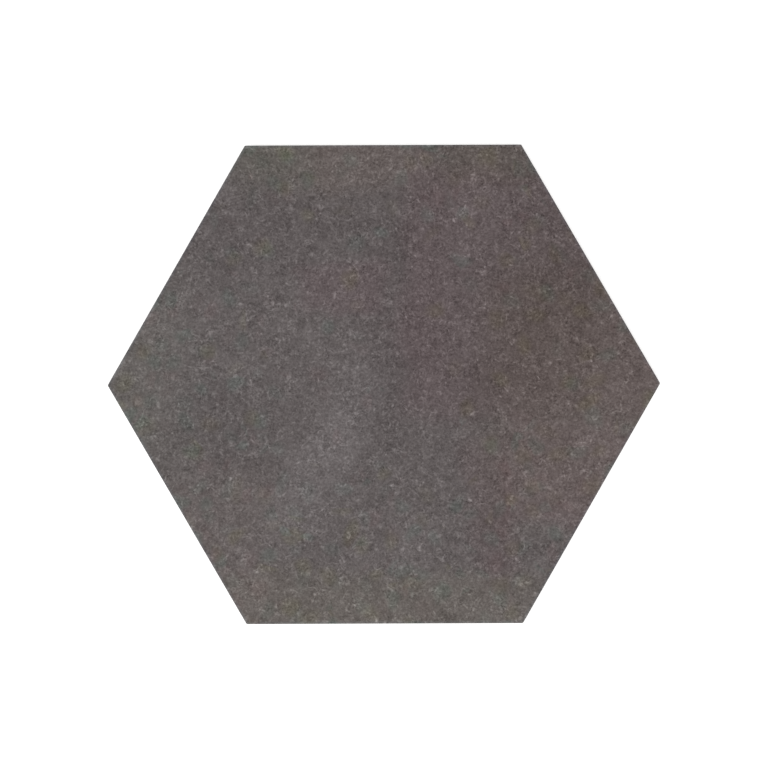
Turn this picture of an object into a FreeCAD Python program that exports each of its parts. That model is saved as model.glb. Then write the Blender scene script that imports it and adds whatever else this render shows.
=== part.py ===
import FreeCAD, Part
import math
import os

import Sketcher

# Hexagon floor tile: one pressed and fired piece, lying face up.
# Millimetres. +Z is up, the wear face is on top, corners point along +X and -X.
# The origin is the middle of the underside, on the plane that the tile rests on.
# The underside is keyed for adhesive with a honeycomb of shallow hexagonal cells.

SIZES = [
    ("across_corners", "250", "face, corner to corner, before the corners are eased"),
    ("thickness", "9", "rib tops to wear face"),
    ("corner_radius", "0.9", "easing of the six upright corners"),
    ("arris_radius", "0.6", "rounding between wear face and side"),
    ("land_height", "4", "upright band of the side, measured down from the wear face"),
    ("foot_inset", "1", "how far the side leans in below the band, for release from the die"),
    ("foot_radius", "0.4", "rounding between side and underside"),
    ("key_pitch", "17.5", "spacing of the honeycomb cells, centre to centre"),
    ("rib_width", "2.5", "rib between two cells, across its top"),
    ("key_depth", "0.8", "how deep the cells are pressed in"),
    ("key_draft", "40", "lean of the cell walls from upright, degrees"),
    ("key_border", "6", "least plain border between cells and the edge of the underside"),
]

SIDES = 6
SIDE_ANGLE = 360 / SIDES
LATTICE_ANGLE = 120
LATTICE_TURNS = 3
LEVEL_TOLERANCE = 1e-6

# Apothem of the underside less the border and one cell's corner, in rows of cells.
RING_ROWS = (
    "(sizes.across_corners / 2 * cos(30 deg) - sizes.foot_inset - sizes.key_border"
    " - (sizes.key_pitch - sizes.rib_width) / sqrt(3)) / (sizes.key_pitch * cos(30 deg))"
)


def make_sheet(doc):
    """Spreadsheet with the driving dimensions, one alias a row."""
    sheet = doc.addObject("Spreadsheet::Sheet", "sizes")
    for row, (alias, value, note) in enumerate(SIZES, 1):
        sheet.set(f"A{row}", alias)
        sheet.set(f"B{row}", value)
        sheet.setAlias(f"B{row}", alias)
        sheet.set(f"C{row}", note)
    doc.recompute()
    return sheet


def underside_sketch(body, name):
    """Empty sketch on the body's own XY plane, which is the underside."""
    plane = next(f for f in body.Origin.OriginFeatures if f.Role == "XY_Plane")
    sketch = body.newObject("Sketcher::SketchObject", name)
    sketch.AttachmentSupport = (plane, [""])
    sketch.MapMode = "FlatFace"
    return sketch


def add_hexagon(sketch, centre_x, radius, turn):
    """Regular hexagon on a construction circle. Returns the index of the circle."""
    angles = [math.radians(SIDE_ANGLE * k + turn) for k in range(SIDES)]
    corners = [
        FreeCAD.Vector(centre_x + radius * math.cos(a), radius * math.sin(a), 0) for a in angles
    ]
    for k in range(SIDES):
        sketch.addGeometry(Part.LineSegment(corners[k], corners[(k + 1) % SIDES]))
    centre = FreeCAD.Vector(centre_x, 0, 0)
    circle = sketch.addGeometry(Part.Circle(centre, FreeCAD.Vector(0, 0, 1), radius), True)
    for k in range(SIDES):
        sketch.addConstraint(Sketcher.Constraint("Coincident", k, 2, (k + 1) % SIDES, 1))
        sketch.addConstraint(Sketcher.Constraint("PointOnObject", k, 1, circle))
    for k in range(1, SIDES):
        sketch.addConstraint(Sketcher.Constraint("Equal", 0, k))
    return circle


def drive(sketch, constraint, name, expression):
    """Adds a constraint and ties its value to the sheet."""
    index = sketch.addConstraint(constraint)
    sketch.renameConstraint(index, name)
    sketch.setExpression(f".Constraints.{name}", expression)


def level_edges(shape, height):
    """Names of the edges that lie wholly at one height."""
    names = []
    for number, edge in enumerate(shape.Edges, 1):
        box = edge.BoundBox
        if abs(box.ZMin - height) < LEVEL_TOLERANCE and abs(box.ZMax - height) < LEVEL_TOLERANCE:
            names.append(f"Edge{number}")
    return names


def rising_edges(shape):
    """Names of the edges that climb from one height to another."""
    names = []
    for number, edge in enumerate(shape.Edges, 1):
        if edge.BoundBox.ZLength > LEVEL_TOLERANCE:
            names.append(f"Edge{number}")
    return names


def add_blank(body, sheet):
    """Hexagonal blank at full thickness, corners on the X axis."""
    outline = underside_sketch(body, "outline")
    circle = add_hexagon(outline, 0, sheet.across_corners / 2, 0)
    outline.addConstraint(Sketcher.Constraint("Coincident", circle, 3, -1, 1))
    outline.addConstraint(Sketcher.Constraint("PointOnObject", 0, 1, -1))
    radius = Sketcher.Constraint("Radius", circle, sheet.across_corners / 2)
    drive(outline, radius, "corner_reach", "sizes.across_corners / 2")
    blank = body.newObject("PartDesign::Pad", "blank")
    blank.Profile = outline
    blank.setExpression("Length", "sizes.thickness")
    body.Document.recompute()
    return blank


def shape_edges(body, blank, sheet):
    """Leaning lower side, eased corners, rounded arris and rounded foot."""
    doc = body.Document
    taper = body.newObject("PartDesign::Chamfer", "side_taper")
    taper.Base = (blank, level_edges(blank.Shape, 0))
    taper.ChamferType = "Two distances"
    taper.setExpression("Size", "sizes.thickness - sizes.land_height")
    taper.setExpression("Size2", "sizes.foot_inset")
    doc.recompute()

    corners = body.newObject("PartDesign::Fillet", "corners")
    corners.Base = (taper, rising_edges(taper.Shape))
    corners.setExpression("Radius", "sizes.corner_radius")
    doc.recompute()

    arris = body.newObject("PartDesign::Fillet", "arris")
    arris.Base = (corners, level_edges(corners.Shape, sheet.thickness))
    arris.setExpression("Radius", "sizes.arris_radius")
    doc.recompute()

    foot = body.newObject("PartDesign::Fillet", "foot")
    foot.Base = (arris, level_edges(arris.Shape, 0))
    foot.setExpression("Radius", "sizes.foot_radius")
    doc.recompute()
    return foot


def add_cell(body, name, centre_x, sheet):
    """One drafted hexagonal cell, pressed up into the underside, corners on the Y axis."""
    reach = (sheet.key_pitch - sheet.rib_width) / math.sqrt(3)
    outline = underside_sketch(body, f"{name}_outline")
    circle = add_hexagon(outline, centre_x, reach, SIDE_ANGLE / 2)
    outline.addConstraint(Sketcher.Constraint("Vertical", circle, 3, 1, 1))
    if centre_x:
        outline.addConstraint(Sketcher.Constraint("PointOnObject", circle, 3, -1))
        place = Sketcher.Constraint("DistanceX", -1, 1, circle, 3, centre_x)
        drive(outline, place, "centre_place", "sizes.key_pitch")
    else:
        outline.addConstraint(Sketcher.Constraint("Coincident", circle, 3, -1, 1))
    radius = Sketcher.Constraint("Radius", circle, reach)
    drive(outline, radius, "cell_reach", "(sizes.key_pitch - sizes.rib_width) / sqrt(3)")
    cell = body.newObject("PartDesign::Pocket", name)
    cell.Profile = outline
    cell.Reversed = True
    cell.Refine = False
    cell.setExpression("Length", "sizes.key_depth")
    cell.setExpression("TaperAngle", "-sizes.key_draft * 1 deg")
    body.Document.recompute()
    return cell


def add_lattice(body, sheet):
    """Construction line along the second direction of the honeycomb."""
    lattice = underside_sketch(body, "lattice")
    angle = math.radians(LATTICE_ANGLE)
    tip = FreeCAD.Vector(sheet.key_pitch * math.cos(angle), sheet.key_pitch * math.sin(angle), 0)
    lattice.addGeometry(Part.LineSegment(FreeCAD.Vector(0, 0, 0), tip), True)
    lattice.addConstraint(Sketcher.Constraint("Coincident", 0, 1, -1, 1))
    lattice.addConstraint(Sketcher.Constraint("Angle", -1, 1, 0, 1, angle))
    spacing = Sketcher.Constraint("Distance", 0, sheet.key_pitch)
    drive(lattice, spacing, "spacing", "sizes.key_pitch")
    body.Document.recompute()
    return lattice


def add_row(body, name, direction, occurrences):
    """Straight pattern at the honeycomb's pitch."""
    row = body.newObject("PartDesign::LinearPattern", name)
    row.Direction = direction
    row.Mode = "Spacing"
    row.setExpression("Offset", "sizes.key_pitch")
    row.setExpression("Occurrences", occurrences)
    return row


def add_honeycomb(body, sheet):
    """Cell in the middle, and rings of cells round it as three turned rhombuses of rows."""
    middle = add_cell(body, "middle_cell", 0, sheet)
    first = add_cell(body, "first_cell", sheet.key_pitch, sheet)
    lattice = add_lattice(body, sheet)
    rows = add_row(body, "rows", (lattice, ["H_Axis"]), f"floor({RING_ROWS})")
    columns = add_row(body, "columns", (lattice, ["Axis0"]), f"floor({RING_ROWS}) + 1")
    turns = body.newObject("PartDesign::PolarPattern", "turns")
    turns.Axis = (next(f for f in body.Origin.OriginFeatures if f.Role == "Z_Axis"), [""])
    turns.Occurrences = LATTICE_TURNS
    honeycomb = body.newObject("PartDesign::MultiTransform", "honeycomb")
    honeycomb.Originals = [first]
    honeycomb.Transformations = [rows, columns, turns]
    honeycomb.Refine = False
    body.Tip = honeycomb
    body.Document.recompute()
    return middle, rows, honeycomb


def check_honeycomb(foot, middle, rows, honeycomb):
    """The cells together must take out as much clay as that many times the one in the middle."""
    one_cell = foot.Shape.Volume - middle.Shape.Volume
    removed = foot.Shape.Volume - honeycomb.Shape.Volume
    cells = 1 + LATTICE_TURNS * rows.Occurrences * (rows.Occurrences + 1)
    if one_cell <= 0 or round(removed / one_cell) != cells:
        raise RuntimeError(f"honeycomb removed {removed:.1f} mm3, not {cells} x {one_cell:.1f} mm3")


def check_document(doc):
    """No object failed, and every body is a sound single solid."""
    for item in doc.Objects:
        if "Invalid" in item.State or "Error" in item.State:
            raise RuntimeError(f"{item.Label} did not build: {item.State}")
    for body in doc.findObjects("PartDesign::Body"):
        shape = body.Shape
        if shape.isNull() or not shape.isValid() or len(shape.Solids) != 1:
            raise RuntimeError(f"{body.Label} is not one sound solid")


doc = FreeCAD.newDocument("hexagon_floor_tile")
sheet = make_sheet(doc)

tile = doc.addObject("PartDesign::Body", "hexagon_tile")
tile.Label = "hexagon_tile"
tile.Placement = FreeCAD.Placement(FreeCAD.Vector(0, 0, 0), FreeCAD.Rotation())
doc.recompute()

blank = add_blank(tile, sheet)
foot = shape_edges(tile, blank, sheet)
middle, rows, honeycomb = add_honeycomb(tile, sheet)
doc.recompute()

check_document(doc)
check_honeycomb(foot, middle, rows, honeycomb)

os.makedirs("parts", exist_ok=True)
for body in doc.findObjects("PartDesign::Body"):
    body.Shape.exportStep(f"parts/{body.Label}.step")
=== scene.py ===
"""Looks of a hexagonal stone-look floor tile: its glazed face, fired body and a plain studio."""
import math

import bmesh
import bpy
import numpy as np
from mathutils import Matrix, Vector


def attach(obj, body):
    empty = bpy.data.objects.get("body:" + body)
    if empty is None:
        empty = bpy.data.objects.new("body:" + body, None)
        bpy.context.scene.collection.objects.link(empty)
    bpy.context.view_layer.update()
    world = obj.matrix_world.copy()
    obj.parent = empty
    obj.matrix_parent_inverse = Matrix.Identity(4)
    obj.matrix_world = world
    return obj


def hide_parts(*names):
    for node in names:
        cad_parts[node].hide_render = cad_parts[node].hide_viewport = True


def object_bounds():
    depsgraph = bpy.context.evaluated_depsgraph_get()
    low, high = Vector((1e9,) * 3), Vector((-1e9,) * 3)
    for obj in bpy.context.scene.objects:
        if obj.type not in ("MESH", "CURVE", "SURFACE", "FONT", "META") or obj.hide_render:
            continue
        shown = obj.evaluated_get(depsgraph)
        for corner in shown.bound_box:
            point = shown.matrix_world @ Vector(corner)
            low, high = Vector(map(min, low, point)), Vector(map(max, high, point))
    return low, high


bl_info = {
    "name": "Hexagon Floor Tile",
    "version": (1, 0, 0),
    "blender": (4, 5, 0),
    "location": "3D View > Sidebar > Tile",
    "description": "Builds a matt stone-look hexagon floor tile on its packed frame, and a studio for it",
    "category": "Add Mesh",
}

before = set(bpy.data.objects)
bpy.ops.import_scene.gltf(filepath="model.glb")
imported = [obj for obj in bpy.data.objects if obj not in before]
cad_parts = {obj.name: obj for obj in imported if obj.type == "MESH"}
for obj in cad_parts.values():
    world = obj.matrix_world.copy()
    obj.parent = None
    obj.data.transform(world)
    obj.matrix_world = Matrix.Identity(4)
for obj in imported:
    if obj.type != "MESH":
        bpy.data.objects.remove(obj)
CAD_LOW, CAD_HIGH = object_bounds()
THICKNESS = CAD_HIGH.z - CAD_LOW.z
NODE = "hexagon_tile"
BODY = "root"

# A millimetre in metres, the angles of a hexagon, one level of a screen colour, and next to nothing.
MM = 0.001
SIDES = 6
SIXTH = math.tau / SIDES
TAN30 = math.tan(SIXTH / 2)
LEVEL = 1 / 255
TINY = 1e-12

# The photograph, in pixels: its width, the place of the tile's middle, and the distance from there
# to a corner. The last is the tile's turn in it, in degrees.
PHOTO_PX = 768
PHOTO_CENTRE_PX = (383.89, 384.33)
PHOTO_REACH_PX = 276.53
PHOTO_TURN_DEG = 0.22

# Fineness of the face: its rings, the share of the way out from which points crowd to the corners,
# how much shorter steps are there, and over how many steps that fades.
FACE_STEPS = 78
CROWDING_FROM = 0.7
CORNER_CROWDING = 0.9
CORNER_SPREAD = 8

# Section of the side: pieces of an arc, pieces of each straight run, the bend under the upright
# band in arris radii, and the flat behind the foot in foot radii.
ARC_STEPS = 5
SIDE_CUTS = (1, 4, 4, 1)
LAND_BEND = 2
FOOT_FLAT = 3

# A honeycomb cell: pieces of an arc and of each straight run of its section, the points along one
# edge, as shares of it, and the rounding of its corners as a share of its size.
CELL_ARC_STEPS = 2
CELL_CUTS = (1, 1, 1)
CELL_EDGE_MARKS = np.array([0.0, 0.04, 0.08, 0.5, 0.92, 0.96])
CELL_CORNER_SHARE = 0.16

# Slow waves of the face: wavelength, share of the swell and seed. A wave is a mean of cosines,
# whose wavelengths spread between these two multiples.
FACE_WAVES = ((70 * MM, 0.7, 3), (17 * MM, 0.3, 8))
WAVE_COSINES = 9
WAVE_SPREAD = (0.7, 1.4)

# The mesh: distance within which points merge, and how far it keeps inside the solid's box.
MERGE_DISTANCE = 1e-7
INSET = 0.002 * MM

# Material numbers, and the share of the leaning side's height up to which it is clay alone.
FACE, EDGE, CLAY = 0, 1, 2
GLAZE_FOOT = 0.35

# The rim value is 0 on the face, this much on its outermost ring and 1 over the arris. It fades
# between these distances from that ring, in arris radii.
RIM_AT_FACE = 0.7
RIM_FADE = (1.5, 4.0)

# Flat sheets for the baked map: their numbers, the map's margin, and the scales at which the face
# with its skirt and the underside fit on it together, in map widths a metre.
FACE_SHEET, UNDER_SHEET = 0, 1
BAKE_MARGIN = 0.006
FACE_SCALE = 1 / 0.340
UNDER_SCALE = 1 / 0.552


# Settings that a user would change

class TileShape(bpy.types.PropertyGroup):
    """Sizes of the pressed tile, as the frame's solid has them, and its fine relief."""

    corner_radius: bpy.props.FloatProperty(
        name="Corner Radius", description="Easing of the six upright corners",
        default=0.9 * MM, min=0.1 * MM, precision=5, subtype="DISTANCE", unit="LENGTH")
    arris_radius: bpy.props.FloatProperty(
        name="Arris Radius", description="Rounding between the face and the side",
        default=0.6 * MM, min=0.1 * MM, precision=5, subtype="DISTANCE", unit="LENGTH")
    land_height: bpy.props.FloatProperty(
        name="Land Height", description="Upright band of the side, measured down from the face",
        default=4 * MM, precision=5, subtype="DISTANCE", unit="LENGTH")
    foot_inset: bpy.props.FloatProperty(
        name="Foot Inset", description="How far the side leans in below the upright band",
        default=1 * MM, precision=5, subtype="DISTANCE", unit="LENGTH")
    foot_radius: bpy.props.FloatProperty(
        name="Foot Radius", description="Rounding between the side and the underside",
        default=0.4 * MM, precision=5, subtype="DISTANCE", unit="LENGTH")
    key_pitch: bpy.props.FloatProperty(
        name="Key Pitch", description="Spacing of the honeycomb cells on the underside",
        default=17.5 * MM, precision=5, subtype="DISTANCE", unit="LENGTH")
    key_rings: bpy.props.IntProperty(
        name="Key Rings", description="Rings of cells round the middle one", default=6, min=1)
    rib_width: bpy.props.FloatProperty(
        name="Rib Width", description="Rib between two cells, across its top",
        default=2.5 * MM, precision=5, subtype="DISTANCE", unit="LENGTH")
    key_depth: bpy.props.FloatProperty(
        name="Key Depth", description="How deep the cells are pressed in",
        default=0.8 * MM, precision=5, subtype="DISTANCE", unit="LENGTH")
    key_draft: bpy.props.FloatProperty(
        name="Key Draft", description="Lean of the cell walls from upright",
        default=math.radians(40), subtype="ANGLE", unit="ROTATION")
    rib_rounding: bpy.props.FloatProperty(
        name="Rib Rounding", description="Rounding along the ribs and at the foot of the cell walls",
        default=0.5 * MM, precision=5, subtype="DISTANCE", unit="LENGTH")
    face_swell: bpy.props.FloatProperty(
        name="Face Swell", description="Depth of the slow waves that firing leaves in the face",
        default=0.06 * MM, precision=5, subtype="DISTANCE", unit="LENGTH")


class TileColours(bpy.types.PropertyGroup):
    """Colours as the eye reads them on a screen, before light and gloss."""

    face: bpy.props.FloatVectorProperty(
        name="Face", description="Mean colour of the printed face",
        default=(0.3945, 0.3653, 0.3641), size=3, min=0, max=1, subtype="COLOR_GAMMA")
    clay: bpy.props.FloatVectorProperty(
        name="Clay", description="Fired body, seen on the side and the underside",
        default=(0.47, 0.435, 0.405), size=3, min=0, max=1, subtype="COLOR_GAMMA")
    kiln_wash: bpy.props.FloatVectorProperty(
        name="Kiln Wash", description="Chalky coat on the rib tops, which keeps the tile off the rollers",
        default=(0.70, 0.68, 0.65), size=3, min=0, max=1, subtype="COLOR_GAMMA")
    cloud_strength: bpy.props.FloatProperty(
        name="Cloud Strength", description="Strength of the print's large colour patches",
        default=1.0, min=0, max=3, subtype="FACTOR")


class StageSettings(bpy.types.PropertyGroup):
    """Floor, light and camera."""

    floor: bpy.props.FloatVectorProperty(
        name="Floor", description="Colour of the plain floor",
        default=(0.93, 0.93, 0.93), size=3, min=0, max=1, subtype="COLOR")
    floor_glow: bpy.props.FloatProperty(
        name="Floor Glow", description="Light that the pale floor gives off, as a light table does",
        default=0.56, min=0)
    sky: bpy.props.FloatProperty(
        name="Room Light", description="Strength of the even light from all round",
        default=0.28, min=0)
    key_power: bpy.props.FloatProperty(
        name="Key Power", description="Power of the large soft light above",
        default=99.0, min=0, subtype="POWER", unit="POWER")
    lens: bpy.props.FloatProperty(
        name="Lens", description="Focal length of the camera, in millimetres",
        default=100.0, min=20)


# Numbers and outlines

def eased(value, low, high):
    """Smooth step: 0 below low, 1 above high, and an S-curve between."""
    share = np.clip((value - low) / (high - low), 0, 1)
    return share * share * (3 - 2 * share)


def ripple(places, wavelength, seed):
    """Slow seeded waves from 0 to 1: the mean of cosines in random directions, near one wavelength."""
    chance = np.random.default_rng(seed)
    heading = chance.uniform(0, math.tau, WAVE_COSINES)
    number = math.tau / (wavelength * chance.uniform(*WAVE_SPREAD, WAVE_COSINES))
    travel = places[..., 0, None] * np.cos(heading) + places[..., 1, None] * np.sin(heading)
    start = chance.uniform(0, math.tau, WAVE_COSINES)
    return 0.5 + 0.5 * np.cos(travel * number + start).mean(-1)


def hexagon_point(apothem, radius, sector, share):
    """Place on a hexagon with rounded corners, as [..., 2].

    Sector k runs from the corner at k sixths of a turn to the next, and share is how far along.
    A point follows the straight side, and over the last radius * tan(30) before a corner it turns
    onto the corner's arc, by an angle in proportion to how far it has come.
    """
    along = 2 * share - 1
    reach = np.abs(along) * apothem * TAN30
    straight = (apothem - radius) * TAN30
    bend = np.clip((reach - straight) / np.maximum(radius * TAN30, TINY), 0, 1) * SIXTH / 2
    out = apothem - radius * (1 - np.cos(bend))
    side = np.sign(along) * (np.minimum(reach, straight) + radius * np.sin(bend))
    facing = SIXTH * (sector + 0.5)
    return np.stack([out * np.cos(facing) - side * np.sin(facing),
                     out * np.sin(facing) + side * np.cos(facing)], -1)


def side_marks(count):
    """Shares along one side: the steps are short at the corners and grow to even ones."""
    from_corner = np.minimum(np.arange(count), np.arange(count)[::-1])
    steps = 1 - CORNER_CROWDING * np.exp(-from_corner / CORNER_SPREAD)
    return np.concatenate([[0], np.cumsum(steps)]) / steps.sum()


def run(start, end, pieces):
    """Points that divide a straight run into pieces, without its two ends."""
    share = np.arange(1, pieces)[:, None] / pieces
    return start + (end - start) * share


def rounded_profile(corners, radii, steps, cuts):
    """Profile (across, height) through the corners, each inner one rounded by an arc of its radius.

    An arc starts radius * tan(turn / 2) before its corner and swings evenly through the turn.
    cuts tells into how many pieces each straight run between the arcs is divided.
    """
    corners = np.asarray(corners, float)
    heading = np.diff(corners, axis=0)
    heading /= np.linalg.norm(heading, axis=1)[:, None]
    line = [corners[:1]]
    for k, radius in enumerate(radii, 1):
        before, after = heading[k - 1], heading[k]
        turn = math.atan2(before[0] * after[1] - before[1] * after[0], before @ after)
        start = corners[k] - before * radius * math.tan(abs(turn) / 2)
        swing = np.linspace(0, abs(turn), steps + 1)[:, None]
        left = np.array([-before[1], before[0]]) * math.copysign(1, turn)
        arc = start + radius * (np.sin(swing) * before + (1 - np.cos(swing)) * left)
        line += [run(line[-1][-1], arc[0], cuts[k - 1]), arc]
    line += [run(line[-1][-1], corners[-1], cuts[-1]), corners[-1:]]
    return np.concatenate(line)


def grid_faces(grids, rows, columns, closed):
    """Four-sided faces of equal grids of points that follow one another, each rows by columns.

    A face looks to the side from which its row direction turns left to its column direction.
    """
    grid, row, column = np.meshgrid(np.arange(grids), np.arange(rows - 1),
                                    np.arange(columns - (not closed)), indexing="ij")
    after = (column + 1) % columns
    line = (grid * rows + row) * columns
    corners = [line + column, line + columns + column, line + columns + after, line + after]
    return np.stack(corners, -1).reshape(-1, 4)


# The pressed tile

class TileForm:
    """Surface of the pressed tile: face, side, border and honeycomb, as patches with shared rims.

    Each patch is a grid of points with their places on a flat sheet. The face and, unrolled round
    it, the side lie on one sheet, and the underside on another.
    """

    def __init__(self, shape):
        self.shape = shape
        self.apothem = (CAD_HIGH.y - CAD_LOW.y) / 2 - INSET
        self.rim_apothem = self.apothem - shape.arris_radius
        self.rim_radius = shape.corner_radius - shape.arris_radius
        self.high_spot = 0.0
        self.patches = []
        self.add_face()
        self.add_border(self.add_side())
        self.add_honeycomb()

    def add(self, points, flat, faces, finish, sheet, rim=0.0):
        """Takes in a patch. finish is for its faces, and sheet and rim are for its points."""
        before = sum(len(patch[0]) for patch in self.patches)
        points = points.reshape(-1, 3)
        self.patches.append((points, flat.reshape(-1, 2), faces + before,
                             np.broadcast_to(finish, len(faces)), np.broadcast_to(sheet, len(points)),
                             np.broadcast_to(rim, len(points))))

    def sink(self, places):
        """How far the face lies below its highest spot: slow waves, long and middling."""
        waves = sum(share * ripple(places, wavelength, seed) for wavelength, share, seed in FACE_WAVES)
        return self.shape.face_swell * waves - self.high_spot

    def add_face(self):
        """Wear face: three rhombuses of lattice points (i, j) that meet in the middle.

        A point lies on hexagonal ring max(i, j), a share of the way along its side that is even
        in the middle of the tile and crowds towards the corners near the rim.
        """
        steps = np.arange(FACE_STEPS + 1)
        rhombus, i, j = np.meshgrid(np.arange(SIDES // 2), steps, steps, indexing="ij")
        ring = np.maximum(i, j)
        even = np.minimum(i, j) / np.maximum(ring, 1)
        even = np.where(i >= j, even, 1 - even)
        crowded = np.interp(even, steps / FACE_STEPS, side_marks(FACE_STEPS))
        share = even + (crowded - even) * eased(ring / FACE_STEPS, CROWDING_FROM, 1.0)
        size = self.rim_apothem * ring / FACE_STEPS
        radius = np.minimum(self.rim_radius, size / 2)
        places = hexagon_point(size, radius, 2 * rhombus + (i < j), share)
        self.high_spot = self.sink(places).min()
        points = np.concatenate([places, (THICKNESS - self.sink(places))[..., None]], -1)
        faces = grid_faces(SIDES // 2, FACE_STEPS + 1, FACE_STEPS + 1, False)
        rim = np.where(ring.ravel() == FACE_STEPS, RIM_AT_FACE, 0.0)
        self.add(points, places, faces, FACE, FACE_SHEET, rim)

    def side_profile(self):
        """Section from the face's rim, over the arris and down the side, to the underside."""
        shape, land = self.shape, THICKNESS - self.shape.land_height
        foot = self.apothem - shape.foot_inset
        corners = [(self.rim_apothem, THICKNESS), (self.apothem, THICKNESS),
                   (self.apothem, land), (foot, 0), (foot - FOOT_FLAT * shape.foot_radius, 0)]
        radii = (shape.arris_radius, LAND_BEND * shape.arris_radius, shape.foot_radius)
        return rounded_profile(corners, radii, ARC_STEPS, SIDE_CUTS)[1:]

    def add_side(self):
        """Arris, side and foot: the section carried round the tile. Gives back its last ring.

        The corners keep one centre: their radius shrinks by as much as the section draws in.
        """
        shape, profile = self.shape, self.side_profile()
        across, height = profile[:, :1], profile[:, 1:]
        land = THICKNESS - shape.land_height
        side = self.apothem - shape.foot_inset * np.clip(1 - height / land, 0, 1)
        radius = np.maximum(shape.corner_radius - (side - across), self.rim_radius)
        sector = np.repeat(np.arange(SIDES), FACE_STEPS)
        share = np.tile(side_marks(FACE_STEPS)[:-1], SIDES)
        places = hexagon_point(across, radius, sector, share)
        lowered = height - self.sink(places) * eased(height, land, THICKNESS)
        points = np.concatenate([places, lowered[..., None]], -1)
        steps = np.linalg.norm(np.diff(profile, axis=0), axis=1)
        length = np.concatenate([[0], np.cumsum(steps)])[:, None]
        flat = hexagon_point(self.rim_apothem + length, self.rim_radius + length, sector, share)
        faces = grid_faces(1, len(profile), len(share), True)
        row = np.repeat(np.arange(len(profile) - 1), len(share))
        finish = np.where(height[row, 0] < GLAZE_FOOT * land, CLAY, EDGE)
        fade_start, fade_end = (shape.arris_radius * radii for radii in RIM_FADE)
        rim = (RIM_AT_FACE + (1 - RIM_AT_FACE) * eased(length, 0, shape.arris_radius)
               - eased(length, fade_start, fade_end))
        self.add(points, flat, faces, finish, FACE_SHEET, np.broadcast_to(rim, flat.shape[:2]).ravel())
        return points[-1]

    def outline_of_cells(self):
        """Outer edge of the honeycomb, point by point, from the middle of the cell edge facing +X.

        Each sixth has two edges on every cell from its corner cell on, and one on the next corner
        cell.
        """
        shape = self.shape
        edge = np.arange(2 * shape.key_rings + 1)
        start = np.arange(SIDES)[:, None]
        angle, toward, along = SIXTH * start, SIXTH * (start + 2), edge // 2
        reach = np.stack([shape.key_rings * np.cos(angle) + along * np.cos(toward),
                          shape.key_rings * np.sin(angle) + along * np.sin(toward)], -1)
        facing = (start + edge % 2)[..., None] - 0.5
        ring = hexagon_point(shape.key_pitch / 2, 0.0, facing, CELL_EDGE_MARKS)
        loop = (shape.key_pitch * reach[:, :, None, :] + ring).reshape(-1, 2)
        return np.roll(loop, -(len(CELL_EDGE_MARKS) // 2), axis=0)

    def add_border(self, foot_ring):
        """Plain border of the underside, ruled from the foot's ring to the outline of the cells."""
        outline = self.outline_of_cells()
        if len(outline) != len(foot_ring):
            raise RuntimeError(f"the border joins {len(foot_ring)} points to {len(outline)}")
        inner = np.column_stack([outline, np.zeros(len(outline))])
        points = np.stack([foot_ring, inner])
        self.add(points, points[..., :2], grid_faces(1, 2, len(inner), True), CLAY, UNDER_SHEET)

    def add_honeycomb(self):
        """Cells: a section from mid-rib over the rounded rib and down the drafted wall to the
        cell's floor, carried round a rounded hexagon, and the same for every cell."""
        shape = self.shape
        opening = (shape.key_pitch - shape.rib_width) / 2
        floor = opening - shape.key_depth * math.tan(shape.key_draft)
        corners = [(shape.key_pitch / 2, 0), (opening, 0),
                   (floor, shape.key_depth), (0, shape.key_depth)]
        radii = (shape.rib_rounding, shape.rib_rounding)
        profile = rounded_profile(corners, radii, CELL_ARC_STEPS, CELL_CUTS)
        across, height = profile[:, :1], profile[:, 1:]
        radius = CELL_CORNER_SHARE * across * (across < shape.key_pitch / 2)
        sector = np.repeat(np.arange(SIDES), len(CELL_EDGE_MARKS)) - 0.5
        ring = hexagon_point(across, radius, sector, np.tile(CELL_EDGE_MARKS, SIDES))
        span = np.arange(-shape.key_rings, shape.key_rings + 1)
        i, j = (axis.ravel() for axis in np.meshgrid(span, span))
        i, j = i[np.abs(i + j) <= shape.key_rings], j[np.abs(i + j) <= shape.key_rings]
        centres = shape.key_pitch * np.column_stack([i + 0.5 * j, math.sin(SIXTH) * j])
        places = centres[:, None, None, :] + ring
        points = np.concatenate([places, np.broadcast_to(height, places.shape[:3])[..., None]], -1)
        faces = grid_faces(len(centres), len(profile), ring.shape[1], True)
        self.add(points, places, faces, CLAY, UNDER_SHEET)

    def bake_places(self, flat, sheet):
        """Both sheets on one square map: the face's at upper left, the underside's, which is seen
        mirrored, at lower right."""
        skirt = np.abs(flat[sheet == FACE_SHEET]).max(0)
        under = np.abs(flat[sheet == UNDER_SHEET]).max(0)
        face_middle = np.array([BAKE_MARGIN + skirt[0] * FACE_SCALE,
                                1 - BAKE_MARGIN - skirt[1] * FACE_SCALE])
        under_middle = np.array([1 - BAKE_MARGIN - under[0] * UNDER_SCALE,
                                 BAKE_MARGIN + under[1] * UNDER_SCALE])
        on_face = (sheet == FACE_SHEET)[:, None]
        return np.where(on_face, face_middle + flat * FACE_SCALE,
                        under_middle + flat * [-UNDER_SCALE, UNDER_SCALE])

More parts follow.
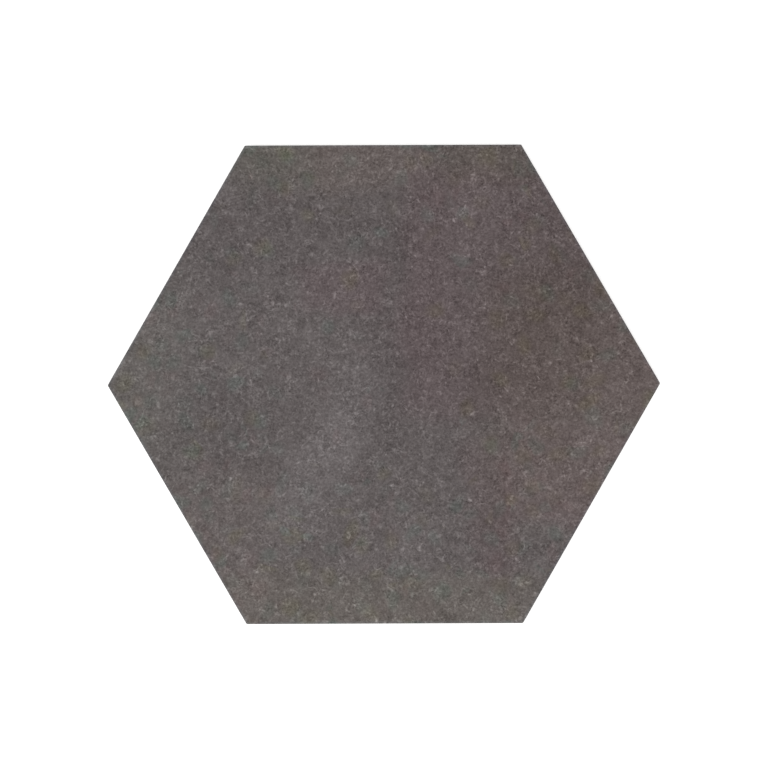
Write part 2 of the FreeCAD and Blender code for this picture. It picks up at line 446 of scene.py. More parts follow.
    def mesh(self, name):
        """One closed mesh with the patches' shared rims merged."""
        points, flat, faces, finish, sheet, rim = (np.concatenate(part) for part in zip(*self.patches))
        made = bpy.data.meshes.new(name)
        made.from_pydata(points, [], faces.tolist())
        made.polygons.foreach_set("material_index", finish.astype(np.int32))
        made.polygons.foreach_set("use_smooth", np.ones(len(faces), bool))
        for label, places in (("OFBake", self.bake_places(flat, sheet)), ("skin", flat)):
            layer = made.uv_layers.new(name=label)
            layer.uv.foreach_set("vector", places[faces.ravel()].astype(np.float32).ravel())
        made.attributes.new("rim", "FLOAT", "POINT").data.foreach_set("value", rim.astype(np.float32))
        work = bmesh.new()
        work.from_mesh(made)
        bmesh.ops.remove_doubles(work, verts=work.verts, dist=MERGE_DISTANCE)
        open_edges = sum(not edge.is_manifold for edge in work.edges)
        if open_edges or work.calc_volume(signed=True) <= 0:
            raise RuntimeError(f"{name} has {open_edges} open edges, or faces that look inwards")
        work.to_mesh(made)
        work.free()
        return made


# Node trees

# Spacing of the nodes in the editor, and the numbers of the Mix node's sockets for colours.
NODE_STEP = (200, -190)
NODES_IN_COLUMN = 8
MIX_SHARE, MIX_FIRST, MIX_SECOND, MIX_RESULT = 0, 6, 7, 2


class Tree:
    """Adds nodes to a tree: plain values go into sockets, and outputs are linked."""

    def __init__(self, tree):
        self.tree = tree

    def feed(self, socket, value):
        """Links an output to the socket, or sets the socket to a plain value."""
        if isinstance(value, bpy.types.NodeSocket):
            self.tree.links.new(value, socket)
        else:
            socket.default_value = value

    def node(self, kind, inputs=None, **settings):
        """New node with its settings and inputs, placed in columns."""
        made = self.tree.nodes.new(kind)
        column, row = divmod(len(self.tree.nodes), NODES_IN_COLUMN)
        made.location = (NODE_STEP[0] * column, NODE_STEP[1] * row)
        for name, value in settings.items():
            setattr(made, name, value)
        for name, value in (inputs or {}).items():
            self.feed(made.inputs[name], value)
        return made

    def math(self, operation, *values):
        """Result of a Math node."""
        return self.node("ShaderNodeMath", dict(enumerate(values)), operation=operation).outputs[0]

    def vector(self, operation, *values):
        """Result of a Vector Math node, which is a plain value for a length."""
        made = self.node("ShaderNodeVectorMath", dict(enumerate(values)), operation=operation)
        return made.outputs["Value" if operation == "LENGTH" else "Vector"]

    def scaled(self, vector, by):
        """Vector times a plain value."""
        return self.node("ShaderNodeVectorMath", {0: vector, "Scale": by}, operation="SCALE").outputs[0]

    def shifted(self, vector, step, number):
        """Vector moved by a number of steps, so that patterns of a kind don't coincide."""
        return self.vector("ADD", vector, tuple(part * number for part in step))

    def ramp(self, value, low, high, to_low=0.0, to_high=1.0):
        """S-curve from to_low at low to to_high at high."""
        made = self.node("ShaderNodeMapRange", {"Value": value, "From Min": low, "From Max": high,
                                                "To Min": to_low, "To Max": to_high},
                         interpolation_type="SMOOTHSTEP")
        return made.outputs["Result"]

    def mix(self, share, first, second):
        """Colour between two, by the share of the second."""
        made = self.node("ShaderNodeMix", data_type="RGBA")
        self.feed(made.inputs[MIX_SHARE], share)
        self.feed(made.inputs[MIX_FIRST], first)
        self.feed(made.inputs[MIX_SECOND], second)
        return made.outputs[MIX_RESULT]

    def noise(self, position, scale, detail=2.0):
        """Colour of a noise with so many waves a millimetre, each part of it about 0.5."""
        inputs = {"Vector": position, "Scale": scale, "Detail": detail}
        return self.node("ShaderNodeTexNoise", inputs).outputs["Color"]

    def group(self, tree, inputs):
        """Outputs of a shader group placed with its own values."""
        made = self.node("ShaderNodeGroup", node_tree=tree)
        for name, value in inputs.items():
            self.feed(made.inputs[name], value)
        return made.outputs

    def grain(self, tree, position, wavelength, detail=0.0):
        """Value of the grain group."""
        inputs = {"Position": position, "Wavelength": wavelength, "Detail": detail}
        return self.group(tree, inputs)["Value"]

    def flecks(self, tree, position, spacing, length, width, share):
        """Mask of the flecks group."""
        return self.group(tree, {"Position": position, "Spacing": spacing, "Length": length,
                                 "Width": width, "Share": share})["Mask"]

    def axes(self, vector):
        """The vector's X, Y and Z."""
        return self.node("ShaderNodeSeparateXYZ", {0: vector}).outputs

    def grey(self, value):
        """Vector with the value in all three parts."""
        return self.node("ShaderNodeCombineXYZ", {"X": value, "Y": value, "Z": value}).outputs[0]


# Shader groups

FLOAT, VECTOR = "NodeSocketFloat", "NodeSocketVector"


def fresh(collection, name):
    """Gives the name back, after removing the data block that an earlier run left under it."""
    old = collection.get(name)
    if old:
        collection.remove(old)
    return name


def new_group(name, inputs, outputs):
    """Empty shader group with named sockets. inputs maps a name to its kind and default, and
    outputs a name to its kind. Gives back its tree and the sockets inside it."""
    made = bpy.data.node_groups.new(fresh(bpy.data.node_groups, name), "ShaderNodeTree")
    for label, (kind, default) in inputs.items():
        socket = made.interface.new_socket(name=label, in_out="INPUT", socket_type=kind)
        if default is not None:
            socket.default_value = default
    for label, kind in outputs.items():
        made.interface.new_socket(name=label, in_out="OUTPUT", socket_type=kind)
    tree = Tree(made)
    return tree, tree.node("NodeGroupInput").outputs, tree.node("NodeGroupOutput").inputs


# Grain: how much of each finer octave it takes, and the factor that spreads the noise, which lies
# about 0.5, to about -1 to 1.
GRAIN_ROUGHNESS = 0.6
GRAIN_SPREAD = 4.0


def grain_group():
    """Even noise of one wavelength in millimetres, from about -1 to 1."""
    tree, given, out = new_group("grain", {
        "Position": (VECTOR, None), "Wavelength": (FLOAT, 2.0), "Detail": (FLOAT, 0.0)}, {"Value": FLOAT})
    spot = tree.scaled(given["Position"], tree.math("DIVIDE", 1.0, given["Wavelength"]))
    noise = tree.node("ShaderNodeTexNoise", {"Vector": spot, "Scale": 1.0, "Detail": given["Detail"],
                                             "Roughness": GRAIN_ROUGHNESS}).outputs["Fac"]
    tree.feed(out["Value"], tree.math("MULTIPLY_ADD", noise, GRAIN_SPREAD, -GRAIN_SPREAD / 2))
    return tree.tree


# Flecks: how far their cells depart from a lattice, the share of a fleck's radius that is full,
# and the strength of the faintest one.
FLECK_SCATTER = 0.9
FLECK_CORE = 0.25
FLECK_FAINTEST = 0.25


def flecks_group():
    """Scattered flecks: one ellipse in each cell of a Voronoi pattern, turned at random, in a given
    share of the cells, each of its own strength. Sizes are in millimetres."""
    tree, given, out = new_group("flecks", {
        "Position": (VECTOR, None), "Spacing": (FLOAT, 2.0), "Length": (FLOAT, 0.6),
        "Width": (FLOAT, 0.3), "Share": (FLOAT, 0.5)}, {"Mask": FLOAT})
    spot = tree.scaled(given["Position"], tree.math("DIVIDE", 1.0, given["Spacing"]))
    cells = tree.node("ShaderNodeTexVoronoi", {"Vector": spot, "Scale": 1.0,
                                               "Randomness": FLECK_SCATTER})
    chance = tree.node("ShaderNodeSeparateColor", {"Color": cells.outputs["Color"]}).outputs
    offset = tree.scaled(tree.vector("SUBTRACT", spot, cells.outputs["Position"]), given["Spacing"])
    turned = tree.node("ShaderNodeVectorRotate", {
        "Vector": offset, "Angle": tree.math("MULTIPLY", chance[0], math.tau)}, rotation_type="Z_AXIS")
    local = tree.axes(turned.outputs[0])
    along = tree.math("DIVIDE", local["X"], given["Length"])
    across = tree.math("DIVIDE", local["Y"], given["Width"])
    plane = tree.node("ShaderNodeCombineXYZ", {"X": along, "Y": across}).outputs[0]
    shape = tree.ramp(tree.vector("LENGTH", plane), FLECK_CORE, 1.0, 1.0, 0.0)
    present = tree.math("LESS_THAN", chance[2], given["Share"])
    strength = tree.math("MULTIPLY_ADD", chance[1], 1 - FLECK_FAINTEST, FLECK_FAINTEST)
    tree.feed(out["Mask"], tree.math("MULTIPLY", shape, tree.math("MULTIPLY", present, strength)))
    return tree.tree


def soft_patch_group():
    """Adds a tint inside a soft patch: its share is exp(-|u|^n - |v|^n), where u and v are the
    distances from its middle over its reach. n = 2 gives a bell, and a large n a level field with
    a crisp border."""
    tree, given, out = new_group("soft_patch", {
        "Tone": (VECTOR, None), "Position": (VECTOR, None), "Middle": (VECTOR, None),
        "Turn": (FLOAT, 0.0), "Reach": (VECTOR, None), "Crispness": (FLOAT, 2.0),
        "Tint": (VECTOR, None)}, {"Tone": VECTOR})
    offset = tree.vector("SUBTRACT", given["Position"], given["Middle"])
    turned = tree.node("ShaderNodeVectorRotate", {
        "Vector": offset, "Angle": tree.math("MULTIPLY", given["Turn"], -1.0)},
        rotation_type="Z_AXIS").outputs[0]
    shrunk = tree.axes(tree.vector("ABSOLUTE", tree.vector("DIVIDE", turned, given["Reach"])))
    fall = tree.math("ADD", tree.math("POWER", shrunk["X"], given["Crispness"]),
                     tree.math("POWER", shrunk["Y"], given["Crispness"]))
    share = tree.math("EXPONENT", tree.math("MULTIPLY", fall, -1.0))
    tint = tree.scaled(given["Tint"], share)
    tree.feed(out["Tone"], tree.vector("ADD", given["Tone"], tint))
    return tree.tree


# Grain of the fired body: stretch of the pattern, wavelength in millimetres, detail, and what it
# adds to the shade and to the height in millimetres. Drag lines run down the side.
CLAY_GRAIN = {
    "fine": ((1.0, 1.0, 1.0), 0.5, 2.0, 0.022, 0.012),
    "broad": ((1.0, 1.0, 1.0), 14.0, 3.0, 0.018, 0.0),
    "drag lines": ((1.0, 1.0, 0.05), 0.6, 2.0, 0.012, 0.008),
}

# Minerals in the body: spacing, half length and half width in millimetres, share of the cells that
# hold one, and what it adds to the shade and to the height. The dark ones leave small pores.
CLAY_MINERALS = {
    "dark": (1.3, 0.28, 0.2, 0.45, -0.13, -0.05),
    "pale": (1.0, 0.24, 0.17, 0.5, 0.09, 0.0),
}
MINERAL_SHIFT = (31.0, 7.0, 3.0)


def fired_clay_group(grain, flecks, clay):
    """Unglazed pressed body: even clay with pale and dark mineral grains and small pores."""
    tree, given, out = new_group("fired_clay", {"Position": (VECTOR, None), "Skin": (VECTOR, None)}, {
        "Tone": VECTOR, "Height": FLOAT})
    shade, height = 0.0, 0.0
    for stretch, wavelength, detail, to_shade, to_height in CLAY_GRAIN.values():
        spot = tree.vector("MULTIPLY", given["Position"], stretch)
        value = tree.grain(grain, spot, wavelength, detail)
        shade = tree.math("MULTIPLY_ADD", value, to_shade, shade)
        height = tree.math("MULTIPLY_ADD", value, to_height, height)
    for number, (*sizes, to_shade, to_height) in enumerate(CLAY_MINERALS.values()):
        mask = tree.flecks(flecks, tree.shifted(given["Skin"], MINERAL_SHIFT, number), *sizes)
        shade = tree.math("MULTIPLY_ADD", mask, to_shade, shade)
        height = tree.math("MULTIPLY_ADD", mask, to_height, height)
    tree.feed(out["Tone"], tree.vector("ADD", tree.grey(shade), tuple(clay)))
    tree.feed(out["Height"], height)
    return tree.tree


# Patches of the face's tone, by name: middle and reach in millimetres, turn in degrees, crispness of the
# border, and tint in levels of red, green and blue out of 255. Most are mottles of the print; 'dark upper
# right' and 'pale lower half' make the face darker at the upper right and paler over its lower half.
PRINT_PATCHES = {
    "warm half": ((68, 41), (60, 58), 0, 20, (2.8, -1.7, -0.4)),
    "warm lower right": ((97, -42), (43, 25), -4, 14, (6.8, 2.2, 4.0)),
    "mauve streak": ((49, -57), (11, 34), 6, 6, (-1.8, -5.6, -4.8)),
    "pink spot": ((-19, 44), (20, 12), 0, 8, (3.8, -0.6, 1.0)),
    "tan right": ((96, -6), (50, 60), 0, 6, (0.0, -0.4, -3.6)),
    "tan crown": ((-11, 104), (25, 16), 0, 6, (7.0, 4.4, 2.2)),
    "olive crown": ((46, 106), (28, 14), 0, 3, (-3.2, -5.2, -8.6)),
    "green shoulder": ((-52, 102), (20, 13), 0, 3, (1.4, 3.4, -1.2)),
    "green left rim": ((-117, 4), (30, 54), 0, 3, (5.2, 7.0, 4.6)),
    "olive lower left": ((-86, -68), (36, 30), 0, 5, (5.0, 3.8, 2.8)),
    "green foot": ((0, -100), (92, 15), 0, 4, (4.4, 4.6, 0.6)),
    "dark upper right": ((76, 46), (29, 51), -22, 3, (-8.0, -8.2, -9.0)),
    "plum shade": ((11, 33), (21, 46), 0, 3, (-4.2, -5.4, -4.8)),
    "slate shade upper left": ((-50, 66), (36, 18), 0, 3, (-3.4, -3.6, -3.2)),
    "pale left": ((-66, 18), (46, 34), 0, 3, (2.4, 2.6, 2.6)),
    "cool shade at left": ((-84, -8), (16, 21), 0, 2, (-5.6, -5.4, -5.0)),
    "pale bloom": ((-24, -26), (13, 45), -28, 4, (9.8, 10.2, 10.6)),
    "shade by the middle": ((0, -14), (14, 28), 0, 3, (-2.2, -2.0, -2.0)),
    "cool hollow": ((14, -60), (18, 16), 0, 3, (2.0, 1.8, 1.8)),
    "pale lower half": ((-10, -95), (130, 50), 0, 3, (2.4, 2.4, 2.4)),
}

# Patches have ragged borders: places drift by a noise of this wavelength in millimetres, detail,
# and range in millimetres.
DRIFT_WAVELENGTH = 26.0
DRIFT_DETAIL = 3.0
DRIFT_RANGE = 18.0

# Grain of the print: wavelength in millimetres and strength in levels.
PRINT_GRAIN = ((0.55, 7.4), (1.1, 8.3), (2.0, 6.6), (4.2, 4.0), (8.5, 2.6), (17.0, 1.8), (36.0, 0.6))
GRAIN_SHIFT = (19.0, 7.0, 3.0)

# Marks of the print: spacing, half length and half width in millimetres, share of the cells that
# hold one, and strength in levels, below 0 for the dark ones.
PRINT_MARKS = {
    "flecks": (1.7, 0.95, 0.65, 0.5, 18),
    "hairs": (2.4, 1.6, 0.45, 0.5, 21),
    "specks": (5.5, 1.6, 1.2, 0.25, 23),
    "curls": (5.0, 3.2, 0.42, 0.3, 18),
    "dark specks": (1.15, 0.5, 0.38, 0.5, -25),
}
MARK_SHIFT = (41.0, 13.0, 5.0)

# What bends the marks: waves a millimetre, and range in millimetres.
MARK_BENDS = ((0.5, 0.9), (0.2, 4.0))

# Loose clusters of fine grain and marks: wavelength in millimetres, detail, and the longest grain
# that they take in. The ramps go from a cluster's low and high value to low and high strength.
CLUSTER_WAVELENGTH = 8.0
CLUSTER_DETAIL = 2.0
CLUSTERED_UP_TO = 4.2
GRAIN_IN_CLUSTERS = (-1.0, 1.0, 0.75, 1.25)
MARKS_IN_CLUSTERS = (-0.8, 1.0, 0.6, 1.4)

# Small colour mottles of the print: tint in levels, spacing in millimetres, and the middle and
# reach of the area that they leave nearly clear.
PRINT_MOTTLES = {
    "green": ((-4.4, 3.2, 1.0), 13.5, (10, 26), 30),
    "yellow": ((0.8, 1.8, -6.0), 14.5, (-18, 30), 35),
    "rust": ((2.4, -1.2, -0.8), 14.0, (40, 40), 60),
}
MOTTLE_SHIFT = (57.0, 11.0, 5.0)

# A mottle's half length and half width as shares of the spacing, the width of the clear area's
# edge, and the shares of the cells that hold a mottle inside and outside.
MOTTLE_LENGTH = 0.42
MOTTLE_WIDTH = 0.34
CLEAR_EDGE = 90.0
MOTTLES_INSIDE, MOTTLES_OUTSIDE = 0.12, 0.75

# Tooth of the matt glaze: wavelength in millimetres, detail, and height in millimetres.
TOOTH_WAVELENGTH = 0.9
TOOTH_DETAIL = 3.0
TOOTH_HEIGHT = 0.012


def stone_print_group(grain, flecks, patch, colours):
    """Printed stone look. The tone is the face's colour plus soft patches, small mottles, grain of
    many sizes, and pale and dark marks. Marks and fine grain are stronger in loose clusters."""
    tree, given, out = new_group("stone_print", {"Position": (VECTOR, None), "Skin": (VECTOR, None)}, {
        "Tone": VECTOR, "Height": FLOAT, "Flecks": FLOAT})
    spot, skin = given["Position"], given["Skin"]
    tone = tuple(colours.face)
    drift = tree.noise(spot, 1 / DRIFT_WAVELENGTH, DRIFT_DETAIL)
    drift = tree.scaled(tree.vector("SUBTRACT", drift, (0.5, 0.5, 0.5)), DRIFT_RANGE)
    loose = tree.vector("ADD", spot, drift)
    strength = colours.cloud_strength * LEVEL
    for (x, y), (wide, tall), turn, crispness, tint in PRINT_PATCHES.values():
        tone = tree.group(patch, {
            "Tone": tone, "Position": loose, "Middle": (x, y, 0), "Turn": math.radians(turn),
            "Reach": (wide, tall, 1.0), "Crispness": crispness,
            "Tint": tuple(strength * part for part in tint)})["Tone"]
    cluster = tree.grain(grain, spot, CLUSTER_WAVELENGTH, CLUSTER_DETAIL)
    shade = 0.0
    for number, (wavelength, levels) in enumerate(PRINT_GRAIN):
        value = tree.grain(grain, tree.shifted(spot, GRAIN_SHIFT, number), wavelength)
        shade = tree.math("MULTIPLY_ADD", value, levels * LEVEL, shade)
        if wavelength == CLUSTERED_UP_TO:
            shade = tree.math("MULTIPLY", shade, tree.ramp(cluster, *GRAIN_IN_CLUSTERS))
    curled = skin
    for scale, span in MARK_BENDS:
        curled = tree.vector("ADD", curled, tree.scaled(tree.noise(spot, scale), span))
    marks = 0.0
    gathered = tree.ramp(cluster, *MARKS_IN_CLUSTERS)
    for number, (*sizes, levels) in enumerate(PRINT_MARKS.values()):
        mask = tree.flecks(flecks, tree.shifted(curled, MARK_SHIFT, number), *sizes)
        mask = tree.math("MULTIPLY", mask, gathered)
        marks = tree.math("ADD", marks, mask)
        shade = tree.math("MULTIPLY_ADD", mask, levels * LEVEL, shade)
    for number, (tint, spacing, (x, y), clear) in enumerate(PRINT_MOTTLES.values(), 1):
        away = tree.vector("LENGTH", tree.vector("SUBTRACT", spot, (x, y, 0)))
        share = tree.ramp(away, clear, clear + CLEAR_EDGE, MOTTLES_INSIDE, MOTTLES_OUTSIDE)
        mottle = tree.flecks(flecks, tree.shifted(loose, MOTTLE_SHIFT, number), spacing,
                             MOTTLE_LENGTH * spacing, MOTTLE_WIDTH * spacing, share)
        tone = tree.vector("ADD", tone, tree.scaled(tuple(LEVEL * part for part in tint), mottle))
    tree.feed(out["Tone"], tree.vector("ADD", tone, tree.grey(shade)))
    tree.feed(out["Flecks"], marks)
    tooth = tree.grain(grain, spot, TOOTH_WAVELENGTH, TOOTH_DETAIL)
    tree.feed(out["Height"], tree.math("MULTIPLY", tooth, TOOTH_HEIGHT))
    return tree.tree


# Materials

def new_material(name):
    """Material with an empty tree, its Principled BSDF, and in millimetres the position on the
    piece and on its flat sheets."""
    made = bpy.data.materials.new(fresh(bpy.data.materials, name))
    made.use_nodes = True
    made.node_tree.nodes.clear()
    tree = Tree(made.node_tree)
    surface = tree.node("ShaderNodeBsdfPrincipled")
    tree.node("ShaderNodeOutputMaterial", {"Surface": surface.outputs[0]})
    position = tree.node("ShaderNodeTexCoord").outputs["Object"]
    skin = tree.node("ShaderNodeUVMap", uv_map="skin").outputs[0]
    return made, tree, surface, tree.scaled(position, 1 / MM), tree.scaled(skin, 1 / MM)


SCREEN_GAMMA = 2.2


def set_surface(tree, surface, tone, rough, relief, specular):
    """Gives the surface its roughness, its relief in millimetres, its specular level, and its tone,
    turned from how a screen shows it into the share of light that it sends back."""
    light = tree.node("ShaderNodeGamma", {"Color": tone, "Gamma": SCREEN_GAMMA}).outputs[0]
    tree.feed(surface.inputs["Base Color"], light)
    tree.feed(surface.inputs["Roughness"], rough)
    bump = tree.node("ShaderNodeBump", {"Height": relief, "Distance": MM, "Strength": 1.0})
    tree.feed(surface.inputs["Normal"], bump.outputs[0])
    surface.inputs["Specular IOR Level"].default_value = specular


# The matt glaze: its roughness and specular level, how much smoother a mark is and rougher bare
# clay, and its thickness in millimetres where it ends on the side.
GLAZE_ROUGHNESS = 0.64
GLAZE_SPECULAR = 0.35
MARK_SMOOTHER = -0.06
CLAY_ROUGHER = 0.22
GLAZE_THICKNESS = 0.05

# The glaze pales as it thins to the rim: tint in levels, and the rim values between which the tint
# comes in.
RIM_TINTS = {
    "thin": ((2.0, 5.6, 8.6), 0.1, 0.8),
    "bare": ((9.0, 8.8, 7.8), 0.6, 1.0),
}

# How the glaze ends on the side: wavelength, detail and swing of its uneven line, and how far
# below the face glaze and overspray end and are full, in millimetres.
LINE_WAVELENGTH = 5.0
LINE_DETAIL = 3.0
LINE_SWING = 0.5
GLAZE_END, GLAZE_FULL = 3.1, 2.3
SPRAY_END, SPRAY_FULL = 5.2, 2.6

# Flecks of overspray: spacing, half length, half width and share of the cells that hold one.
SPRAY_FLECKS = (0.7, 0.3, 0.26, 0.6)


def glaze_material(groups, name, over_edge):
    """Matt printed glaze, of the face or over the edge, where it runs over the arris and thins out
    down the side."""
    made, tree, surface, spot, skin = new_material(name)
    stone = tree.group(groups["stone_print"], {"Position": spot, "Skin": skin})
    rim = tree.node("ShaderNodeAttribute", attribute_name="rim").outputs["Fac"]
    tone = stone["Tone"]
    for tint, low, high in RIM_TINTS.values():
        paler = tree.scaled(tuple(part * LEVEL for part in tint), tree.ramp(rim, low, high))
        tone = tree.vector("ADD", tone, paler)
    rough = tree.math("MULTIPLY_ADD", stone["Flecks"], MARK_SMOOTHER, GLAZE_ROUGHNESS)
    relief = stone["Height"]
    if over_edge:
        clay = tree.group(groups["fired_clay"], {"Position": spot, "Skin": skin})
        cover = glaze_cover(tree, groups, spot, skin)
        tone = tree.mix(cover, clay["Tone"], tone)
        rough = tree.math("MULTIPLY_ADD", tree.math("SUBTRACT", 1.0, cover), CLAY_ROUGHER, rough)
        relief = tree.math("MULTIPLY", tree.math("ADD", relief, GLAZE_THICKNESS), cover)
        relief = tree.math("ADD", relief, clay["Height"])
    set_surface(tree, surface, tone, rough, relief, GLAZE_SPECULAR)
    return made


def glaze_cover(tree, groups, spot, skin):
    """Share of the side that glaze covers: all near the face, down to an uneven line, and flecks
    of overspray below it."""
    top, height = THICKNESS / MM, tree.axes(spot)["Z"]
    edge = tree.grain(groups["grain"], spot, LINE_WAVELENGTH, LINE_DETAIL)
    line = tree.math("MULTIPLY_ADD", edge, LINE_SWING, height)
    cover = tree.ramp(line, top - GLAZE_END, top - GLAZE_FULL)
    spray = tree.flecks(groups["flecks"], skin, *SPRAY_FLECKS)
    spray = tree.math("MULTIPLY", spray, tree.ramp(line, top - SPRAY_END, top - SPRAY_FULL))
    return tree.math("MAXIMUM", cover, spray)


# Fired body: its roughness and specular level, and what kiln wash adds to the roughness and, in
# millimetres, to the height.
CLAY_ROUGHNESS = 0.84
CLAY_SPECULAR = 0.3
WASH_ROUGHER = 0.08
WASH_THICKNESS = 0.02

# Kiln wash: stretch, wavelength in millimetres, detail and weight of its patterns. One ramp goes
# from their low and high sum to low and high cover, and the other from the height in millimetres
# to the share of it that is left.
WASH_PATTERNS = {
    "streaks": ((0.45, 1.0, 1.0), 4.0, 4.0, 0.45),
    "patches": ((1.0, 1.0, 1.0), 24.0, 4.0, 0.8),
}
WASH_COVER = (-0.75, 0.35, 0.1, 0.92)
WASH_REACH = (0.02, 0.3, 1.0, 0.12)


def clay_material(groups, colours):
    """Fired body of the lower side and the underside, with chalky kiln wash on the rib tops."""
    made, tree, surface, spot, skin = new_material("fired_clay_body")
    clay = tree.group(groups["fired_clay"], {"Position": spot, "Skin": skin})
    wash = 0.0
    for stretch, wavelength, detail, weight in WASH_PATTERNS.values():
        value = tree.grain(groups["grain"], tree.vector("MULTIPLY", spot, stretch), wavelength, detail)
        wash = tree.math("MULTIPLY_ADD", value, weight, wash)
    wash = tree.ramp(wash, *WASH_COVER)
    wash = tree.math("MULTIPLY", wash, tree.ramp(tree.axes(spot)["Z"], *WASH_REACH))
    tone = tree.mix(wash, clay["Tone"], (*colours.kiln_wash, 1.0))
    rough = tree.math("MULTIPLY_ADD", wash, WASH_ROUGHER, CLAY_ROUGHNESS)
    relief = tree.math("MULTIPLY_ADD", wash, WASH_THICKNESS, clay["Height"])
    set_surface(tree, surface, tone, rough, relief, CLAY_SPECULAR)
    return made


WHITE = (1.0, 1.0, 1.0, 1.0)

# The floor: least roughness and how much it varies, waves of that a millimetre, specular level,
# half width in metres, and how far it lies below the tile.
FLOOR_ROUGHNESS = 0.8
FLOOR_UNEVENNESS = 0.05
FLOOR_WAVES = 0.02
FLOOR_SPECULAR = 0.2
FLOOR_REACH = 3.0
FLOOR_DROP = 0.05 * MM


def floor_material(stage):
    """Plain pale light table, with a trace of unevenness in its gloss."""
    made, tree, surface, spot, _ = new_material("plain_floor")
    surface.inputs["Base Color"].default_value = (*stage.floor, 1.0)
    surface.inputs["Emission Color"].default_value = WHITE
    surface.inputs["Emission Strength"].default_value = stage.floor_glow
    noise = tree.node("ShaderNodeTexNoise", {"Vector": spot, "Scale": FLOOR_WAVES}).outputs["Fac"]
    rough = tree.math("MULTIPLY_ADD", noise, FLOOR_UNEVENNESS, FLOOR_ROUGHNESS)
    tree.feed(surface.inputs["Roughness"], rough)
    surface.inputs["Specular IOR Level"].default_value = FLOOR_SPECULAR
    return made


# Operators

class HEXAGON_TILE_OT_make_tile(bpy.types.Operator):
    """Builds the pressed tile with its glaze and clay, in place of the frame's plain solid"""

    bl_idname = "hexagon_tile.make_tile"
    bl_label = "Make Tile"

    def execute(self, context):
        shape, colours = context.scene.tile_shape, context.scene.tile_colours
        grain, flecks, patch = grain_group(), flecks_group(), soft_patch_group()
        groups = {"grain": grain, "flecks": flecks,
                  "fired_clay": fired_clay_group(grain, flecks, colours.clay),
                  "stone_print": stone_print_group(grain, flecks, patch, colours)}
        tile = bpy.data.objects.new("pressed_tile", TileForm(shape).mesh("pressed_tile"))
        context.scene.collection.objects.link(tile)
        tile.data.materials.append(glaze_material(groups, "matt_printed_glaze", False))
        tile.data.materials.append(glaze_material(groups, "glaze_over_edge", True))
        tile.data.materials.append(clay_material(groups, colours))
        tile.modifiers.new("even_shading", "WEIGHTED_NORMAL")
        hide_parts(NODE)
        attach(tile, BODY)
        return {"FINISHED"}


# The soft light's width and place, and the width of the camera's sensor in millimetres.
LAMP_WIDTH = 2.4
LAMP_PLACE = (-0.5, -0.75, 4.2)
SENSOR_WIDTH = 36.0


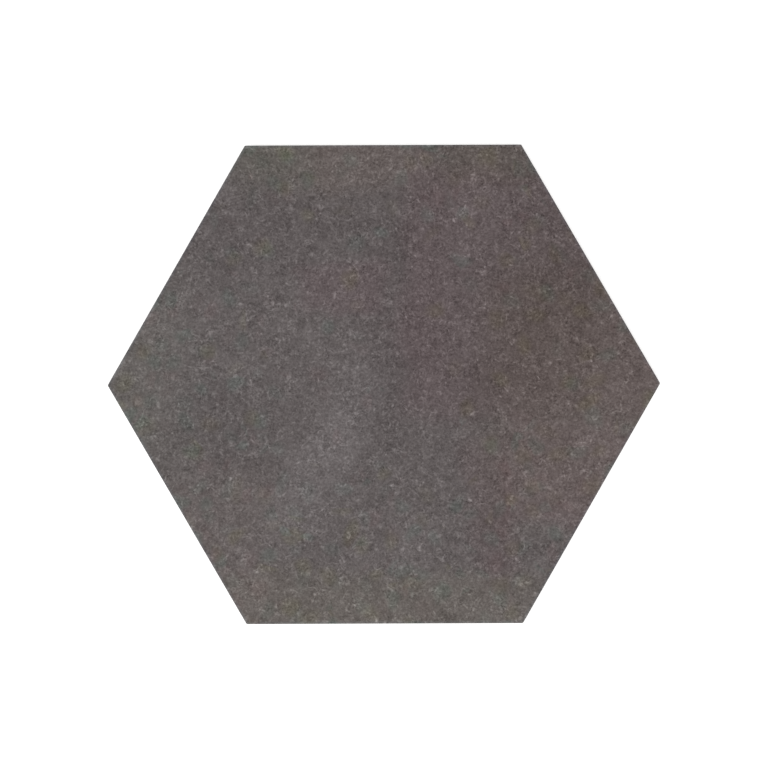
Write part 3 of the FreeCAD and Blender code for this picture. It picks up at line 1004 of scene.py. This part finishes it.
class HEXAGON_TILE_OT_make_stage(bpy.types.Operator):
    """Lays the plain floor, hangs the soft light and sets the camera straight above the tile"""

    bl_idname = "hexagon_tile.make_stage"
    bl_label = "Make Stage"

    def execute(self, context):
        scene, stage = context.scene, context.scene.tile_stage
        self.lay_floor(scene, stage)
        self.light(scene, stage)
        self.set_camera(scene, stage)
        scene.view_settings.view_transform = "Standard"
        return {"FINISHED"}

    def lay_floor(self, scene, stage):
        """Square floor, a hair below the underside."""
        corners = np.array([(-1, -1, 0), (1, -1, 0), (1, 1, 0), (-1, 1, 0)]) * FLOOR_REACH
        mesh = bpy.data.meshes.new("studio_floor")
        mesh.from_pydata(corners - (0, 0, FLOOR_DROP), [], [(0, 1, 2, 3)])
        mesh.materials.append(floor_material(stage))
        floor = bpy.data.objects.new("studio_floor", mesh)
        scene.collection.objects.link(floor)

    def light(self, scene, stage):
        """Even room light, which the camera sees as a white backdrop beyond the floor, and one
        large soft light high up, a little to the left and towards the foot of the picture."""
        world = bpy.data.worlds.new("even_room")
        world.use_nodes = True
        world.node_tree.nodes.clear()
        tree = Tree(world.node_tree)
        room = tree.node("ShaderNodeBackground", {"Color": WHITE, "Strength": stage.sky})
        backdrop = tree.node("ShaderNodeBackground", {"Color": WHITE, "Strength": 1.0})
        seen = tree.node("ShaderNodeLightPath").outputs["Is Camera Ray"]
        both = tree.node("ShaderNodeMixShader", {0: seen, 1: room.outputs[0], 2: backdrop.outputs[0]})
        tree.node("ShaderNodeOutputWorld", {"Surface": both.outputs[0]})
        scene.world = world
        lamp = bpy.data.lights.new("soft_key", "AREA")
        lamp.shape = "SQUARE"
        lamp.size = LAMP_WIDTH
        lamp.energy = stage.key_power
        key = bpy.data.objects.new("soft_key", lamp)
        key.location = LAMP_PLACE
        key.rotation_euler = (-key.location).to_track_quat("-Z", "Y").to_euler()
        scene.collection.objects.link(key)

    def set_camera(self, scene, stage):
        """Camera straight down on the face, so that the tile stands where it does in the photograph.

        Its distance is the picture's width at the face times focal length over sensor width.
        """
        lens = bpy.data.cameras.new("camera")
        lens.lens = stage.lens
        lens.sensor_width = SENSOR_WIDTH
        reach = (CAD_HIGH.y - CAD_LOW.y) / 2 / math.cos(SIXTH / 2)
        pixel = reach / PHOTO_REACH_PX
        distance = pixel * PHOTO_PX * lens.lens / lens.sensor_width
        camera = bpy.data.objects.new("camera", lens)
        middle = PHOTO_PX / 2
        camera.location = ((middle - PHOTO_CENTRE_PX[0]) * pixel,
                           (PHOTO_CENTRE_PX[1] - middle) * pixel, CAD_HIGH.z + distance)
        camera.rotation_euler = (0, 0, -math.radians(PHOTO_TURN_DEG))
        scene.collection.objects.link(camera)
        scene.camera = camera


class HEXAGON_TILE_PT_panel(bpy.types.Panel):
    """Lists the tile's settings and operators"""

    bl_idname = "HEXAGON_TILE_PT_panel"
    bl_label = "Hexagon Floor Tile"
    bl_space_type = "VIEW_3D"
    bl_region_type = "UI"
    bl_category = "Tile"

    def draw(self, context):
        layout, scene = self.layout, context.scene
        for group in (scene.tile_shape, scene.tile_colours, scene.tile_stage):
            box = layout.box()
            for name in group.bl_rna.properties.keys():
                if name not in ("rna_type", "name"):
                    box.prop(group, name)
        layout.operator(HEXAGON_TILE_OT_make_tile.bl_idname)
        layout.operator(HEXAGON_TILE_OT_make_stage.bl_idname)


CLASSES = (TileShape, TileColours, StageSettings, HEXAGON_TILE_OT_make_tile,
           HEXAGON_TILE_OT_make_stage, HEXAGON_TILE_PT_panel)
SETTINGS = {"tile_shape": TileShape, "tile_colours": TileColours, "tile_stage": StageSettings}


def register():
    """Registers the classes and puts their settings on the scene."""
    for kind in CLASSES:
        bpy.utils.register_class(kind)
    for name, kind in SETTINGS.items():
        setattr(bpy.types.Scene, name, bpy.props.PointerProperty(type=kind))


def unregister():
    """Takes settings and classes back out."""
    for name in SETTINGS:
        delattr(bpy.types.Scene, name)
    for kind in reversed(CLASSES):
        bpy.utils.unregister_class(kind)


def main():
    """Builds the tile and the stage."""
    register()
    bpy.ops.hexagon_tile.make_tile()
    bpy.ops.hexagon_tile.make_stage()


if __name__ == "__main__":
    main()
